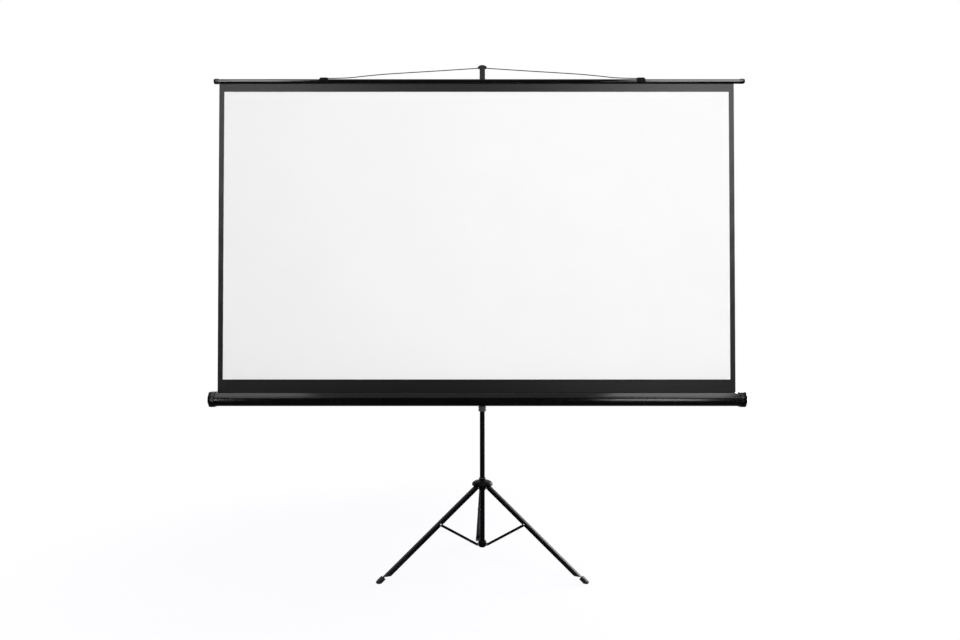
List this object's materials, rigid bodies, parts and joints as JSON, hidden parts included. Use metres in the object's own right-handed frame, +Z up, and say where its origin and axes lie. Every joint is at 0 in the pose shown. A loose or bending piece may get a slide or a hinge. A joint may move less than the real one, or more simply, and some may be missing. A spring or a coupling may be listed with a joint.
{
  "type": "tripod projection screen",
  "caption": "Portable projection screen: white bordered fabric drawn up from a roller case on a telescopic mast with a folding tripod.",
  "frame": {"origin": "on the floor, under the middle of the object's box", "axes": "+X along the case to the viewer's right, +Y away from the viewer, +Z up"},
  "size_m": [2.3376, 0.7666, 2.2156],
  "materials": {
    "painted_steel": "satin",
    "gloss_steel": "gloss",
    "case_metal": "gloss",
    "bright_steel": "satin",
    "black_plastic": "matte",
    "nylon": "matte",
    "rubber": "matte",
    "wire": "gloss",
    "black_fabric": "matte",
    "screen_fabric": "matte"
  },
  "bodies": {
    "column": {"column_tube": "painted_steel", "column_plug": "black_plastic", "column_collar": "black_plastic", "strut_collar": "black_plastic", "collar_pin_left": "bright_steel", "collar_pin_right": "bright_steel", "collar_pin_rear": "bright_steel"},
    "clamp_knob": {"clamp_knob": "black_plastic"},
    "hub": {"hub": "black_plastic", "hub_bush": "nylon"},
    "leg_left": {"leg_left": "painted_steel", "boot_left": "rubber", "leg_rivet_left": "bright_steel", "strut_rivet_left": "bright_steel"},
    "leg_right": {"leg_right": "painted_steel", "boot_right": "rubber", "leg_rivet_right": "bright_steel", "strut_rivet_right": "bright_steel"},
    "leg_rear": {"leg_rear": "painted_steel", "boot_rear": "rubber", "leg_rivet_rear": "bright_steel", "strut_rivet_rear": "bright_steel"},
    "strut_left": {"strut_left": "painted_steel"},
    "strut_right": {"strut_right": "painted_steel"},
    "strut_rear": {"strut_rear": "painted_steel"},
    "middle": {"middle_tube": "gloss_steel", "case_bracket": "black_plastic", "swivel_plate": "painted_steel", "swivel_bolt": "bright_steel", "case_shell": "case_metal", "case_cap_left": "black_plastic", "case_cap_right": "black_plastic", "spring_shaft": "bright_steel", "winding_spring": "bright_steel", "extension_clamp": "black_plastic"},
    "roller": {"roller_tube": "painted_steel", "roller_plug_left": "black_plastic", "roller_plug_right": "black_plastic", "spring_anchor": "black_plastic", "fabric_roll": "black_fabric"},
    "release_button": {"release_button": "black_plastic"},
    "extension": {"extension_tube": "gloss_steel", "hook": "black_plastic", "bar_tube": "gloss_steel", "bar_cap_left": "black_plastic", "bar_cap_right": "black_plastic", "wire_clip_left": "black_plastic", "wire_clip_right": "black_plastic", "hanger_wire": "wire", "screen_fabric": "screen_fabric"}
  },
  "joints": [
    {"name": "hub_slide", "type": "slide", "parent": "column", "child": "hub", "axis": [0, 0, 1], "range_m": [0, 0.19644]},
    {"name": "leg_left_fold", "type": "hinge", "parent": "hub", "child": "leg_left", "pos_m": [-0.00552, -0.13512, 0.3565], "axis": [0.5, -0.866, 0], "range_deg": [0, 52.32]},
    {"name": "leg_right_fold", "type": "hinge", "parent": "hub", "child": "leg_right", "pos_m": [0.03952, -0.13512, 0.3565], "axis": [0.5, 0.866, 0], "range_deg": [0, 52.32]},
    {"name": "leg_rear_fold", "type": "hinge", "parent": "hub", "child": "leg_rear", "pos_m": [0.01596, -0.09614, 0.3565], "axis": [-0.9992, -0.0401, 0], "range_deg": [0, 52.32]},
    {"name": "strut_left_fold", "type": "hinge", "parent": "leg_left", "child": "strut_left", "pos_m": [-0.1652, -0.22731, 0.21406], "axis": [-0.5, 0.866, 0], "range_deg": [0, 112.05]},
    {"name": "strut_right_fold", "type": "hinge", "parent": "leg_right", "child": "strut_right", "pos_m": [0.1992, -0.22731, 0.21406], "axis": [-0.5, -0.866, 0], "range_deg": [0, 112.05]},
    {"name": "strut_rear_fold", "type": "hinge", "parent": "leg_rear", "child": "strut_rear", "pos_m": [0.00856, 0.08811, 0.21406], "axis": [0.9992, 0.0401, 0], "range_deg": [0, 112.05]},
    {"name": "clamp_turn", "type": "hinge", "parent": "column", "child": "clamp_knob", "pos_m": [0.017, -0.09712, 0.7073], "axis": [0, 1, 0], "range_deg": [0, 180]},
    {"name": "height_slide", "type": "slide", "parent": "column", "child": "middle", "axis": [0, 0, 1], "range_m": [0, 0.45]},
    {"name": "extension_slide", "type": "slide", "parent": "middle", "child": "extension", "axis": [0, 0, 1], "range_m": [-0.88, 0], "deforming": ["screen_fabric"]},
    {"name": "roller_turn", "type": "hinge", "parent": "middle", "child": "roller", "pos_m": [-0.0043, -0.18772, 0.7479], "axis": [1, 0, 0], "range_deg": [-2870, 0]},
    {"name": "button_press", "type": "slide", "parent": "middle", "child": "release_button", "axis": [0, -1, 0], "range_m": [0, 0.003], "stiffness_N_per_m": 500, "springref_m": -0.002}
  ],
  "couplings": [
    {"joint": "leg_left_fold", "follows": "hub_slide", "rad_per_m": 4.648},
    {"joint": "leg_right_fold", "follows": "hub_slide", "rad_per_m": 4.648},
    {"joint": "leg_rear_fold", "follows": "hub_slide", "rad_per_m": 4.648},
    {"joint": "strut_left_fold", "follows": "hub_slide", "rad_per_m": 9.9548},
    {"joint": "strut_right_fold", "follows": "hub_slide", "rad_per_m": 9.9548},
    {"joint": "strut_rear_fold", "follows": "hub_slide", "rad_per_m": 9.9548},
    {"joint": "roller_turn", "follows": "extension_slide", "rad_per_m": 56.8}
  ]
}
